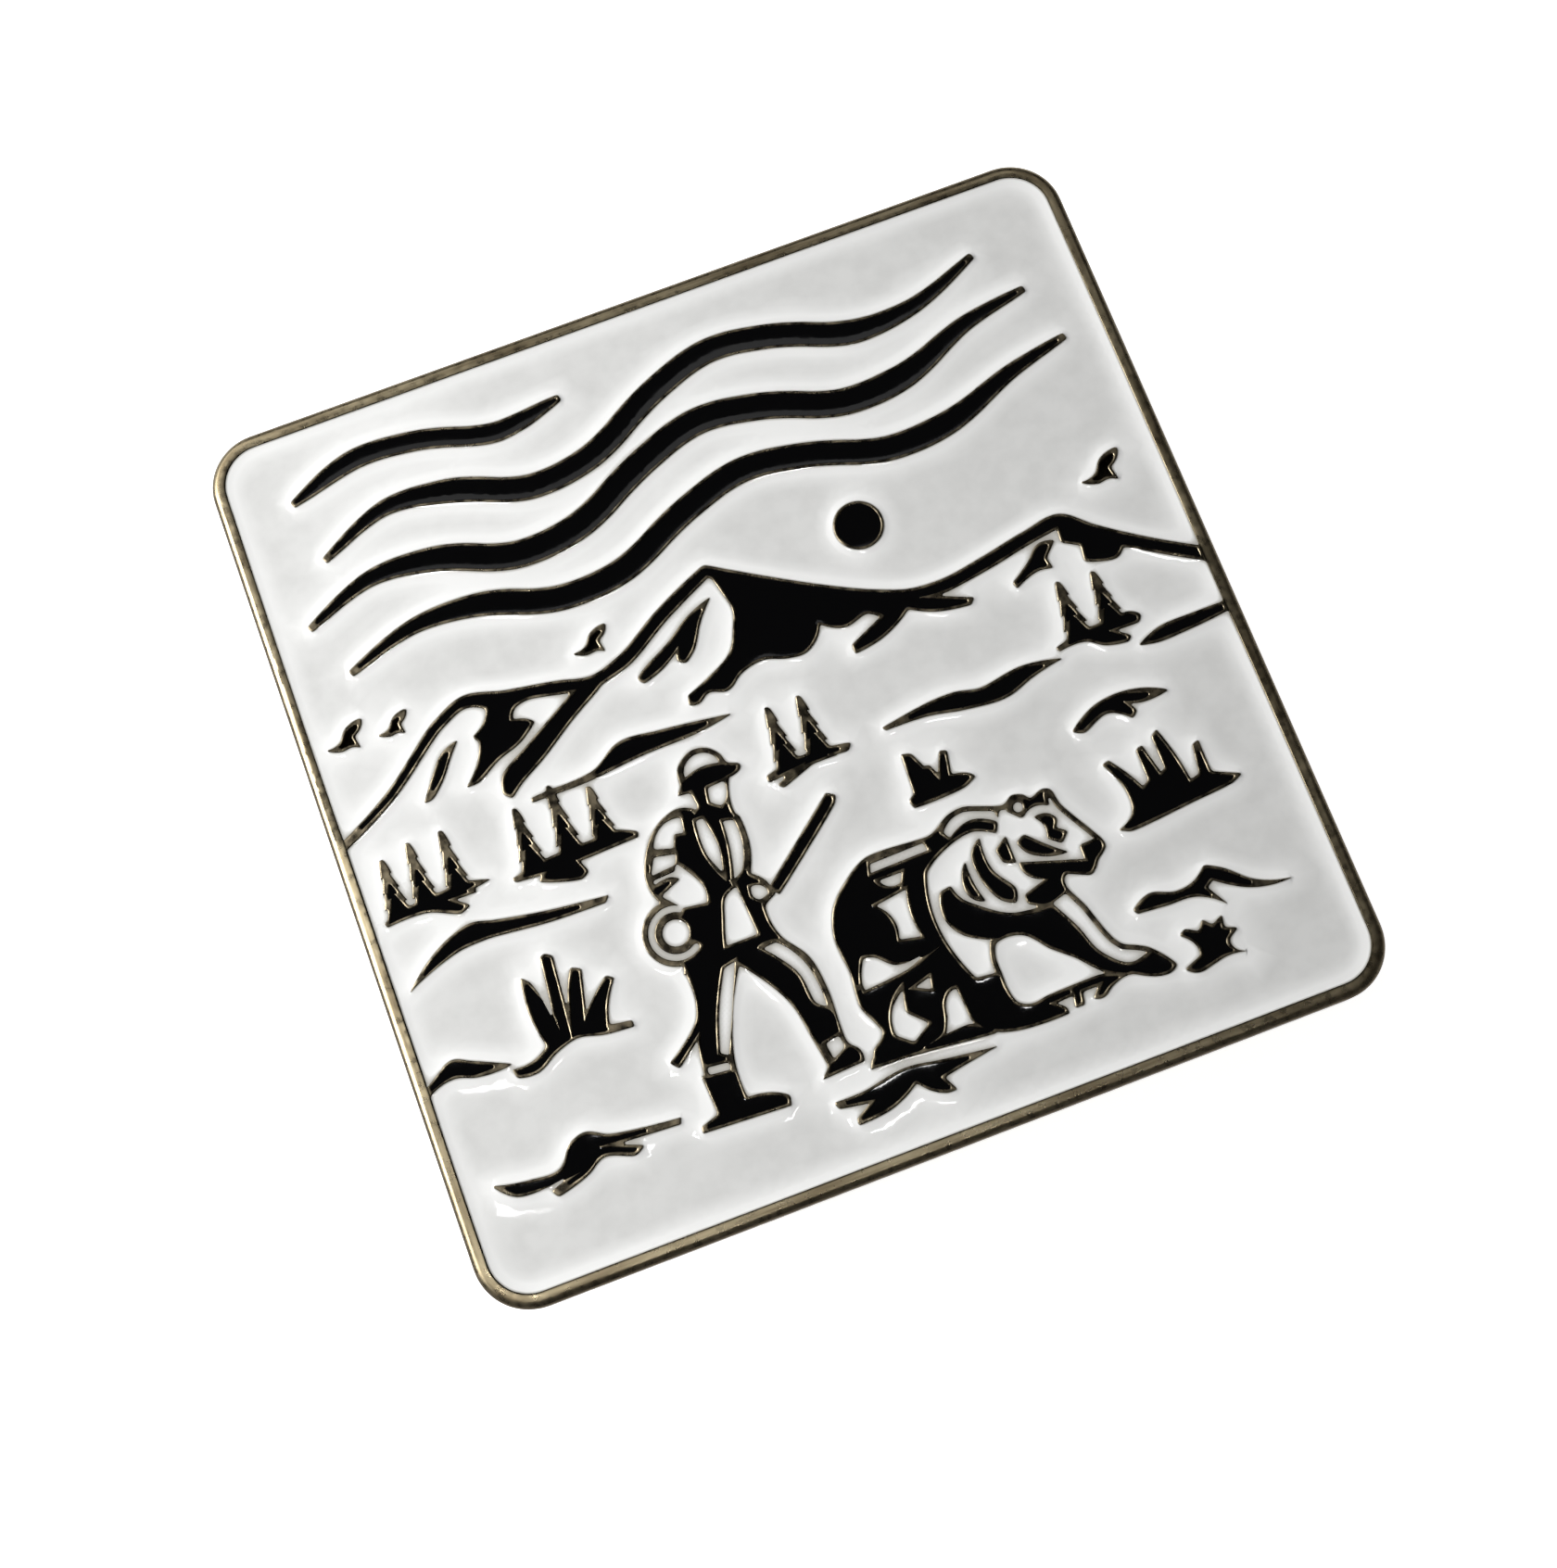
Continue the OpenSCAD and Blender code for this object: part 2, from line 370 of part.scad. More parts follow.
// ---------- cells of the face ----------

module rounded(side, r) {
    square([side - 2 * r, side], center = true);
    square([side, side - 2 * r], center = true);
    for (x = [-1, 1], y = [-1, 1]) translate([x, y] * (side / 2 - r)) circle(r);
}
module field() rounded(badge_side - 2 * rim_w, corner_r - rim_w);

// Drops what is narrower than w and leaves the rest as it is
module wide_only(w) intersection() {
    children();
    offset(delta = w, chamfer = true) offset(delta = -w / 2) children();
}

module figures() scale(art_scale) {
    hiker_shape();
    staff_shape();
    bear_shape();
}
module all_ink() scale(art_scale) {
    scroll_ink();
    sun_ink();
    birds();
    ridge_ink();
    hill_ink();
    tree_ink();
    grass_ink();
    hiker_ink();
    bear_ink();
}
module white_cells() wide_only(cell_min) difference() {
    field();
    all_ink();
}
module black_cells() wide_only(cell_min) offset(delta = -line_w) intersection() {
    children();
    field();
}
// Everything above the skyline
module sky_zone() scale(art_scale)
    polygon(concat([[-far, skyline[0][1]]], skyline, [[far, skyline[0][1]], [far, far], [-far, far]]));

module enamel(tone) color(tone) translate([0, 0, floor_z])
    linear_extrude(enamel_t) offset(delta = -enamel_gap) children();
module black_enamel() enamel("#101011") black_cells() scale(art_scale) children();

// ---------- 3D: the badge ----------

// Outline of the badge, and the metal that stands up from the floor of the cells
module outline() offset(delta = 0) rounded(badge_side, corner_r);
module raised_metal() difference() {
    outline();
    white_cells();
    black_cells() all_ink();
}
module badge_base() color("#6e5c36") union() {
    difference() {
        linear_extrude(floor_z) outline();
        for (side = [-1, 1]) post_place(side) translate([0, 0, -1])
            cylinder(pocket_d + 1, pocket_r, pocket_r);
    }
    translate([0, 0, floor_z]) linear_extrude(cell_depth) intersection() {
        outline();
        offset(delta = web + web_join) offset(delta = -2 * web) offset(delta = web) raised_metal();
    }
}

module sky_enamel() enamel("#dcdcd8") intersection() {
    white_cells();
    sky_zone();
}
module land_enamel() enamel("#d6d6d2") difference() {
    white_cells();
    sky_zone();
    figures();
}
module hiker_white_enamel() enamel("#d8d8d4") intersection() {
    white_cells();
    scale(art_scale) hiker_shape();
}
module bear_white_enamel() enamel("#d8d8d4") intersection() {
    white_cells();
    scale(art_scale) bear_shape();
}
module scroll_black_enamel() black_enamel() scroll_ink();
module sun_black_enamel() black_enamel() sun_ink();
module ridge_black_enamel() black_enamel() ridge_ink();
module hill_black_enamel() black_enamel() hill_ink();
module tree_black_enamel() black_enamel() tree_ink();
module grass_black_enamel() black_enamel() grass_ink();
module hiker_black_enamel() black_enamel() hiker_ink();
module bear_black_enamel() black_enamel() bear_ink();

// ---------- posts ----------

module post_place(side) translate([side * post_spacing / 2, 0, 0]) children();

module post(side) color("#c9b98a") post_place(side) rotate_extrude() polygon([
    [0, flange_t], [flange_r, flange_t], [flange_r, 0], [post_r, 0],
    [post_r, -root_len], [groove_r, -root_len],
    [groove_r, -root_len - ring_cut], [post_r, -root_len - ring_cut],
    [post_r, groove_z + 0.4], [groove_r, groove_z + 0.2],
    [groove_r, groove_z - 0.2], [post_r, groove_z - 0.4],
    [post_r, -post_len + tip_len], [point_r, -post_len], [0, -post_len]]);
// Solder that fills the pocket over and around the flange
module solder(side) color("#9c9a94") post_place(side) difference() {
    cylinder(pocket_d, pocket_r, pocket_r);
    translate([0, 0, -1]) cylinder(flange_t + 1, flange_r, flange_r);
}

module left_post() post(-1);
module right_post() post(1);
module left_solder() solder(-1);
module right_solder() solder(1);

// ---------- butterfly clutches ----------
// Drawn with the cup's cloth side at w = 0 and w growing away from the badge

module clutch_place(side) post_place(side) translate([0, 0, -cloth_gap]) mirror([0, 0, 1]) children();

module cup(side) color("#c2ae78") clutch_place(side) rotate_extrude() polygon([
    [hole_r, 0], [cup_r - edge_cut, 0], [cup_r, edge_cut], [cup_r, cup_h - edge_cut],
    [cup_r - edge_cut, cup_h], [lip_r, cup_h], [lip_r, lip_w], [cup_r - sheet_t, lip_w],
    [cup_r - sheet_t, sheet_t], [hole_r + sheet_t, sheet_t], [hole_r + sheet_t, base_w + sheet_t],
    [hole_r, base_w + sheet_t]]);

module spring(side) color("#cdbb86") clutch_place(side) difference() {
    translate([0, 0, base_w]) cylinder(sheet_t, spring_r, spring_r);
    translate([0, 0, -1]) cylinder(4, spring_eye, spring_eye);
    for (turn = [0, 180]) rotate([0, 0, turn]) translate([-foot_w / 2, bend_y - foot_in, -1])
        cube([foot_w, foot_in + bend_r + bend_gap, 4]);
}

// Side view of a wing from its foot at +y, across the post and out to its tip at -y
wing_path = [[bend_y, bend_w], [0, cross_w], [-1.4, cross_w + 0.9], [-2.6, wing_h - 1.2],
             [-3.5, wing_h - 0.5], [-tip_y, wing_h - sheet_t / 2]];
module wing_side() offset(delta = 0) {
    polygon(concat(edge(wing_path, [sheet_t, sheet_t, sheet_t], 1),
                   flip(edge(wing_path, [sheet_t, sheet_t, sheet_t], -1))));
    translate([bend_y, bend_w]) circle(bend_r, $fn = 24);
}
// Plan of a wing, rounded at its tip
module wing_plan() {
    translate([-wing_w / 2, tip_corner - tip_y - 1]) square([wing_w, bend_y + 2 + tip_y - tip_corner]);
    translate([-wing_w / 2 + tip_corner, -tip_y - 1]) square([wing_w - 2 * tip_corner, 2 * tip_corner]);
    for (x = [-1, 1]) translate([x * (wing_w / 2 - tip_corner), tip_corner - tip_y - 1]) circle(tip_corner);
}
module wing_sheet() intersection() {
    translate([-wing_w, 0, 0]) rotate([90, 0, 90]) linear_extrude(2 * wing_w) wing_side();
    linear_extrude(wing_h + 1) wing_plan();
}
module jaw_cut(w) {
    translate([-w / 2, -slot_end, 0]) cube([w, slot_end + jaw_y, wing_h]);
    cylinder(wing_h, jaw_r, jaw_r);
}
// The wing whose foot is at +y: wide, with the opening for the other one
module wing_upper(side) color("#c8b47c") clutch_place(side) difference() {
    wing_sheet();
    jaw_cut(outer_opening);
}
// The wing whose foot is at -y: narrow where it passes through
module wing_lower(side) color("#bfaa72") clutch_place(side) mirror([0, 1, 0]) difference() {
    wing_sheet();
    jaw_cut(2 * jaw_r + 0.3);
    for (x = [-1, 1]) translate([x * (inner_w / 2 + wing_w / 2), 0, wing_h / 2])
        cube([wing_w, 2 * narrow_y, wing_h], center = true);
}

module left_cup() cup(-1);
module right_cup() cup(1);
module left_spring() spring(-1);
module right_spring() spring(1);
module left_wing_upper() wing_upper(-1);
module left_wing_lower() wing_lower(-1);
module right_wing_upper() wing_upper(1);
module right_wing_lower() wing_lower(1);

badge_base();
sky_enamel();
land_enamel();
hiker_white_enamel();
bear_white_enamel();
scroll_black_enamel();
sun_black_enamel();
ridge_black_enamel();
hill_black_enamel();
tree_black_enamel();
grass_black_enamel();
hiker_black_enamel();
bear_black_enamel();
left_post();
right_post();
left_solder();
right_solder();
left_cup();
left_spring();
left_wing_upper();
left_wing_lower();
right_cup();
right_spring();
right_wing_upper();
right_wing_lower();
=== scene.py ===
import math
import time

import bmesh
import bpy
import numpy as np
from mathutils import Matrix, Vector
from mathutils.bvhtree import BVHTree
from mathutils.geometry import delaunay_2d_cdt
from mathutils.kdtree import KDTree


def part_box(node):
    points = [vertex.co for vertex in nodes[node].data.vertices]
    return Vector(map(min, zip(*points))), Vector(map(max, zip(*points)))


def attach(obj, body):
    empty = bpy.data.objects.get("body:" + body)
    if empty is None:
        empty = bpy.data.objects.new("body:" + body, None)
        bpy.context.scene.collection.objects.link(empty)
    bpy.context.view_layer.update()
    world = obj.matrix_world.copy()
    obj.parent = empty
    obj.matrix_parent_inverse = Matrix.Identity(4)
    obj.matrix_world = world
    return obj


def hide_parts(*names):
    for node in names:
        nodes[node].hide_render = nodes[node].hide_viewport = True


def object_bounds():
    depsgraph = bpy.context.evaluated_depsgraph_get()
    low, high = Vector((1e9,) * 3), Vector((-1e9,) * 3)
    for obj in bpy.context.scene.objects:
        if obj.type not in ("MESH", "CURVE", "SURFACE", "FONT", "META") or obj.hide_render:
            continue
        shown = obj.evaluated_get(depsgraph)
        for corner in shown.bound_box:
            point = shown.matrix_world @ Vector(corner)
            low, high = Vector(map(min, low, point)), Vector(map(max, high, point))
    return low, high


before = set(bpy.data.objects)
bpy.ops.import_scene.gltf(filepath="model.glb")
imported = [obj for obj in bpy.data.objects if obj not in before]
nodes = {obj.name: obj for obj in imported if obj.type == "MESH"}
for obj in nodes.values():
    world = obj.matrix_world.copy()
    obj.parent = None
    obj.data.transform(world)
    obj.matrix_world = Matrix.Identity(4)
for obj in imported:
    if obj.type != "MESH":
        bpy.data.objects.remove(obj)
cadBox = [list(corner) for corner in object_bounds()]
mm = 0.001
startTime = time.time()
bpy.context.scene.view_settings.view_transform = "Standard"
print("frame loaded, nodes:", len(nodes))


# small helpers

def meshPiece(name, points, faces, material, sharp=35, normals=None):
    mesh = bpy.data.meshes.new(name)
    mesh.from_pydata([tuple(p) for p in points], [], [tuple(f) for f in faces])
    mesh.shade_smooth()
    if normals is None:
        mesh.validate()
        mesh.set_sharp_from_angle(angle=math.radians(sharp))
    else:
        mesh.normals_split_custom_set_from_vertices([tuple(n) for n in normals])
    piece = bpy.data.objects.new(name, mesh)
    bpy.context.scene.collection.objects.link(piece)
    mesh.materials.append(material)
    return piece


class Shell:                            # points with their normals, and faces, gathered part by part
    def __init__(self):
        self.points, self.normals, self.faces = [], [], []

    def add(self, points, normals):
        start = len(self.points)
        self.points += [tuple(p) for p in points]
        normals = np.broadcast_to(np.asarray(normals, float), (len(self.points) - start, 3))
        self.normals += [tuple(n) for n in normals]
        return start

    def skirt(self, edges, points, ways, bottom):
        # walls under the edges (a, b), from points down to the height "bottom", facing "ways"
        ends = sorted({v for edge in edges for v in edge})
        at = {v: i for i, v in enumerate(ends)}
        sideways = [(*ways[v], 0) for v in ends]
        high = self.add([points[v] for v in ends], sideways)
        low = self.add([(*points[v][:2], bottom) for v in ends], sideways)
        self.faces += [(high + at[b], high + at[a], low + at[a], low + at[b]) for a, b in edges]
        return {v: low + i for v, i in at.items()}


def finishPiece(piece, body, slotName, *replaced):
    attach(piece, body)
    if replaced:
        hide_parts(*replaced)
    return piece


# materials

class Nodes:
    def __init__(self, name):
        self.material = bpy.data.materials.new(name)
        self.material.use_nodes = True
        self.tree = self.material.node_tree
        self.shader = self.tree.nodes["Principled BSDF"]

    def add(self, kind, inputs=None, **settings):
        node = self.tree.nodes.new(kind)
        for key, value in settings.items():
            setattr(node, key, value)
        for key, value in (inputs or {}).items():
            if isinstance(value, bpy.types.NodeSocket):
                self.tree.links.new(value, node.inputs[key])
            else:
                node.inputs[key].default_value = value
        return node

    def put(self, **values):
        for key, value in values.items():
            socket = self.shader.inputs[key.replace("_", " ")]
            if isinstance(value, bpy.types.NodeSocket):
                self.tree.links.new(value, socket)
            else:
                socket.default_value = value

    def place(self):
        return self.add("ShaderNodeTexCoord").outputs["Object"]

    def noise(self, scale, detail=3.0, stretch=None):
        where = self.place()
        if stretch:
            where = self.add("ShaderNodeMapping", {"Vector": where, "Scale": stretch}).outputs["Vector"]
        found = self.add("ShaderNodeTexNoise", {"Vector": where, "Scale": scale, "Detail": detail})
        return found.outputs["Fac"]

    def spread(self, value, low, high, fromLow=0.3, fromHigh=0.7):
        node = self.add("ShaderNodeMapRange", {"Value": value, "From Min": fromLow, "From Max": fromHigh,
                                               "To Min": low, "To Max": high})
        return node.outputs["Result"]

    def math(self, what, *values):
        return self.add("ShaderNodeMath", dict(enumerate(values)), operation=what).outputs[0]

    def bump(self, height, strength, distance):
        inputs = {"Height": height, "Strength": strength, "Distance": distance}
        return self.add("ShaderNodeBump", inputs).outputs["Normal"]

    def mix(self, share, first, second):
        node = self.add("ShaderNodeMix", data_type="RGBA")
        for socket, value in ((node.inputs[0], share), (node.inputs[6], first), (node.inputs[7], second)):
            if isinstance(value, bpy.types.NodeSocket):
                self.tree.links.new(value, socket)
            else:
                socket.default_value = value if isinstance(value, float) else (*value, 1)
        return node.outputs[2]


platingLooks = {
    "rimBright": (0.50, 0.42, 0.27),
    "rimPatina": (0.24, 0.19, 0.115),
    # painted dark reflection on the outer edge's rounding and the side walls
    "paintedDarkReflection": (0.085, 0.068, 0.045),
    "lineBright": (0.36, 0.30, 0.20),
    "lineDark": (0.04, 0.034, 0.024),
    "washAndShade": (0.02, 0.017, 0.011),       # antique wash left in the recesses; on the rim's inner rounding it is painted shade
    "cornerCentre": 16.75,              # the corners are rounded about this x and y, mm
    "roughLow": 0.22,
    "roughHigh": 0.40,
}


def makePlating():
    m = Nodes("antiqueMetal")
    look = platingLooks
    grain = m.noise(2600, 4)
    cloud = m.noise(380, 4)
    speck = m.noise(1700, 3)
    apart = m.add("ShaderNodeSeparateXYZ", {"Vector": m.place()}).outputs
    wide = [m.add("ShaderNodeMath", {0: apart[axis]}, operation="ABSOLUTE").outputs[0] for axis in "XY"]
    past = [m.math("MAXIMUM", m.math("SUBTRACT", w, look["cornerCentre"] * mm), 0.0) for w in wide]
    squares = [m.math("MULTIPLY", side, side) for side in past]
    past = m.math("SQRT", m.math("ADD", *squares))
    out = m.math("ADD", past, look["cornerCentre"] * mm)           # distance out, round the corners too
    onRim = m.spread(out, 0.0, 1.0, 18.38 * mm, 18.45 * mm)
    along = m.math("MINIMUM", *wide)
    strip = m.add("ShaderNodeCombineXYZ", {"X": along, "Y": m.math("MULTIPLY", out, 12.0)})
    streak = m.add("ShaderNodeTexNoise", {"Vector": strip.outputs[0], "Scale": 260, "Detail": 3.0})
    streak = streak.outputs["Fac"]
    rim = m.mix(m.spread(streak, 0.0, 1.0, 0.40, 0.70), look["rimBright"], look["rimPatina"])
    rim = m.mix(m.spread(cloud, 0.0, 0.5, 0.45, 0.75), rim, look["rimPatina"])
    # painted dark reflection: the outer edge's rounding and the side walls are darkened
    rim = m.mix(m.spread(out, 0.0, 1.0, 18.90 * mm, 18.97 * mm), rim, look["paintedDarkReflection"])
    line = m.mix(m.spread(speck, 0.0, 1.0, 0.36, 0.70), look["lineDark"], look["lineBright"])
    washAndRimShade = m.spread(apart["Z"], 1.0, 0.0, 1.30 * mm, 1.50 * mm)
    edge = m.spread(out, 1.0, 0.0, 18.47 * mm, 18.54 * mm)       # dark line along the rim's inner edge: the antique wash on its inner wall, and painted shade on the rounding above
    onLines = m.spread(out, 1.0, 0.0, 18.40 * mm, 18.44 * mm)
    behind = m.spread(apart["Z"], 1.0, 0.0, 0.05 * mm, 0.3 * mm)
    washAndRimShade = m.math("MULTIPLY", washAndRimShade, onLines)
    # the wash in the recesses, plus the painted shade along the rim's inner edge
    washAndRimShade = m.math("MAXIMUM", washAndRimShade, m.math("MULTIPLY", edge, onRim))
    front = m.mix(washAndRimShade, m.mix(onRim, line, rim), look["washAndShade"])
    m.put(Base_Color=m.mix(behind, front, look["rimPatina"]), Metallic=1.0,
          Roughness=m.spread(grain, look["roughLow"], look["roughHigh"]),
          Normal=m.bump(grain, 0.12, 0.00002))
    return m.material


enamelLooks = {
    "white": (0.765, 0.765, 0.75),
    "whiteShade": (0.715, 0.715, 0.70),
    # painted highlight of the climbing enamel
    "paintedHaloHighlight": (0.93, 0.93, 0.915),
    "lineEdgeDark": (0.30, 0.28, 0.23),
    "black": (0.0012, 0.0012, 0.0014),
    "gloss": 0.06,
    "wave": 0.05,                       # unevenness of the cured surface
}


def makeWhiteEnamel():
    # painted highlight: paler where it climbs at the metal; and darker right at the line
    m = Nodes("whiteEnamel")
    look = enamelLooks
    cloud = m.spread(m.noise(1100, 5), 0.0, 1.0, 0.36, 0.66)
    high = m.add("ShaderNodeSeparateXYZ", {"Vector": m.place()}).outputs["Z"]
    flat = m.mix(cloud, look["white"], look["whiteShade"])
    # painted highlight: paler where the enamel climbs at the metal
    withPaintedHalo = m.mix(m.spread(high, 0.0, 1.0, 1.447 * mm, 1.49 * mm), flat, look["paintedHaloHighlight"])
    # darker right at the metal line, where the enamel meets the wall
    darkenedAtLine = m.mix(m.spread(high, 0.0, 0.75, 1.535 * mm, 1.553 * mm), withPaintedHalo, look["lineEdgeDark"])
    m.put(Base_Color=darkenedAtLine, Roughness=look["gloss"], IOR=1.5,
          Normal=m.bump(m.noise(900, 2), look["wave"], 0.00002))
    return m.material


def makeBlackEnamel():
    m = Nodes("blackEnamel")
    m.put(Base_Color=(*enamelLooks["black"], 1),
          Roughness=m.spread(m.noise(1500, 3), 0.04, 0.09), IOR=1.5,
          Normal=m.bump(m.noise(800, 2), enamelLooks["wave"], 0.00002))
    return m.material


def makePostMetal():
    m = Nodes("postMetal")
    rings = m.noise(300, 3, (1, 1, 40))
    m.put(Base_Color=m.mix(m.spread(m.noise(600, 3), 0.0, 1.0), (0.66, 0.58, 0.40), (0.52, 0.45, 0.30)),
          Metallic=1.0, Roughness=m.spread(rings, 0.18, 0.38), Normal=m.bump(rings, 0.2, 0.00002))
    return m.material


def solderLook():
    m = Nodes("dullSolder")
    lumps = m.noise(1300, 4)
    m.put(Base_Color=m.mix(m.spread(lumps, 0.0, 1.0), (0.46, 0.455, 0.44), (0.30, 0.295, 0.28)),
          Metallic=1.0, Roughness=m.spread(lumps, 0.35, 0.6), Normal=m.bump(lumps, 0.5, 0.00004))
    return m.material


def makeClutchBrass():
    m = Nodes("clutchBrass")
    scuffs = m.noise(1800, 4, (1, 6, 1))
    cloud = m.noise(250, 4)
    m.put(Base_Color=m.mix(m.spread(cloud, 0.0, 1.0), (0.72, 0.58, 0.30), (0.60, 0.47, 0.22)),
          Metallic=1.0, Roughness=m.spread(scuffs, 0.16, 0.34), Normal=m.bump(scuffs, 0.12, 0.00002))
    return m.material


plating = makePlating()
whiteEnamel = makeWhiteEnamel()
blackEnamel = makeBlackEnamel()
postMetal = makePostMetal()
dullSolder = solderLook()
clutchBrass = makeClutchBrass()
print("materials made")


# the face: struck metal and enamel

face = {
    "step": 0.1,                        # spacing of points along the lines, mm
    "corner": 52,                       # a bend sharper than this stays a corner, degrees
    "tiny": 0.035,                      # points closer than this are merged, mm
    "metalRings": (0.025, 0.06),        # how far from a line's edge the metal has points, mm
    "rimRings": (0.04, 0.09, 0.15, 0.22, 0.30),   # the same on the rim, from outside
    "rimInnerRings": (0.03, 0.07, 0.13, 0.20),    # and from inside
    "enamelRings": (0.05, 0.12, 0.22, 0.36, 0.56, 0.85),
    "grid": 0.7,                        # spacing of points in open enamel, mm
    "lineRound": 0.05,                  # radius of a line's upper edges, mm
    "rimRound": 0.34,                   # the same for the badge's outer edge
    "rimInnerRound": 0.20,              # and for the rim's inner edge
    "creep": 0.12,                      # how far the white climbs at the metal
    "blackCreep": 0.055,                # and the black
    "reach": 0.42,                      # how far from the metal that dies away
    "floor": 1.1,                       # bottom of the cells
    "backEdge": ((0.0, 0.22, 0), (0.03, 0.11, 30), (0.09, 0.04, 60), (0.2, 0.0, 90)),   # inset, height, tilt
}
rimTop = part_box("badge_base")[1][2] / mm
enamelNodes = [n for n in nodes if n.endswith("_enamel")]


def topLoops(name):
    mesh = nodes[name].data
    places = np.empty(len(mesh.vertices) * 3)
    mesh.vertices.foreach_get("co", places)
    places = places.reshape(-1, 3) / mm
    top = places[:, 2].max()
    keys = {}
    same = [keys.setdefault((round(x, 4), round(y, 4)), len(keys)) if z > top - 1e-3 else -1
            for x, y, z in places]
    where = list(keys)
    edges = set()
    for polygon in mesh.polygons:
        ring = [same[v] for v in polygon.vertices]
        if -1 in ring:
            continue
        for a, b in zip(ring, ring[1:] + ring[:1]):
            if a != b:
                edges.add((a, b))
    nextOf = {a: b for a, b in edges if (b, a) not in edges}
    loops = []
    while nextOf:
        first, at = next(iter(nextOf.items()))
        del nextOf[first]
        loop = [first]
        while at != first:
            loop.append(at)
            at = nextOf.pop(at)
        loops.append(np.array([where[i] for i in loop]))
    return loops


def smoothLoop(loop):
    gaps = np.hypot(*(loop - np.roll(loop, 1, 0)).T)
    keep = [p for p, gap in zip(loop, gaps) if gap > face["tiny"]]
    p = np.array(keep if len(keep) > 3 else loop)
    ahead = np.roll(p, -1, 0) - p
    behind = p - np.roll(p, 1, 0)
    longAhead = np.maximum(np.hypot(*ahead.T), 1e-6)[:, None]
    longBehind = np.maximum(np.hypot(*behind.T), 1e-6)[:, None]
    pull = 1.6 * np.minimum(longAhead, longBehind)[:, 0]      # a long stretch isn't bent by a short neighbour
    aheadWay, behindWay = ahead / longAhead, behind / longBehind
    bend = np.degrees(np.arccos(np.clip((aheadWay * behindWay).sum(1), -1, 1)))
    way = aheadWay * longBehind + behindWay * longAhead
    way /= np.maximum(np.hypot(*way.T), 1e-6)[:, None]
    isCorner = bend > face["corner"]
    out = []
    for i in range(len(p)):
        j = (i + 1) % len(p)
        length = longAhead[i][0]
        startWay = aheadWay[i] if isCorner[i] else way[i]
        endWay = aheadWay[i] if isCorner[j] else way[j]
        if isCorner[i] and not isCorner[j]:
            startWay = 2 * aheadWay[i] - endWay
        if isCorner[j] and not isCorner[i]:
            endWay = 2 * aheadWay[i] - startWay
        count = max(1, math.ceil(length / face["step"]))
        t = (np.arange(count) / count)[:, None]
        a, b = p[i], p[j]
        startPull, endPull = min(length, pull[i]), min(length, pull[j])
        out.append((2 * t**3 - 3 * t**2 + 1) * a + (t**3 - 2 * t**2 + t) * startPull * startWay
                   + (3 * t**2 - 2 * t**3) * b + (t**3 - t**2) * endPull * endWay)
    out = np.concatenate(out)
    for _ in range(2):
        out = (np.roll(out, 1, 0) + 2 * out + np.roll(out, -1, 0)) / 4
    return out


loops = sorted((smoothLoop(loop) for loop in topLoops("badge_base")), key=lambda l: -np.ptp(l[:, 0]))
half = cadBox[1][0] / mm
loops[0] = np.clip(loops[0], -half, half)
print("outlines read:", len(loops), round(time.time() - startTime, 1), "s")


def sidesOf(loop):
    way = np.roll(loop, -1, 0) - np.roll(loop, 1, 0)
    way /= np.maximum(np.hypot(*way.T), 1e-9)[:, None]
    return np.stack([-way[:, 1], way[:, 0]], 1)      # to the left, which is the metal's side


linePoints = np.concatenate(loops)
lineOf = np.concatenate([np.full(len(l), i) for i, l in enumerate(loops)])
metalWay = np.concatenate([sidesOf(l) for l in loops])
alongOf = np.concatenate([np.arange(len(l)) for l in loops])
tree = KDTree(len(linePoints))
for i, (x, y) in enumerate(linePoints):
    tree.insert((x, y, 0), i)
tree.balance()


rimInner = max(range(1, len(loops)), key=lambda i: np.ptp(loops[i][:, 0]))


def spacedPoints():
    found = []

    def addRing(sign, d, chosen):
        for i in chosen:
            p = linePoints[i] + sign * d * metalWay[i]
            if tree.find((p[0], p[1], 0))[2] > 0.9 * d:
                found.append(p)

    rim = len(loops[0])
    for k, d in enumerate(face["metalRings"]):
        addRing(1, d, [i for i in range(rim + k, len(linePoints)) if lineOf[i] != rimInner])
    for d in face["rimInnerRings"]:
        addRing(1, d, np.where(lineOf == rimInner)[0])
    for d in face["rimRings"]:
        addRing(1, d, range(rim))
    for k, d in enumerate(face["enamelRings"]):
        skip = 1 if d < 0.12 else 2 if d < 0.3 else 3 if d < 0.5 else 5
        addRing(-1, d, range(rim + k % 2, len(linePoints), skip))
    half = np.ptp(loops[0][:, 0]) / 2 - 1
    ticks = np.arange(-half, half, face["grid"])
    for row, y in enumerate(ticks):
        for x in ticks + (row % 2) * face["grid"] / 2:
            if tree.find((x, y, 0))[2] > 1.05:
                found.append(np.array((x, y)))
    return found


extra = spacedPoints()
print("points on the face:", len(linePoints) + len(extra), round(time.time() - startTime, 1), "s")


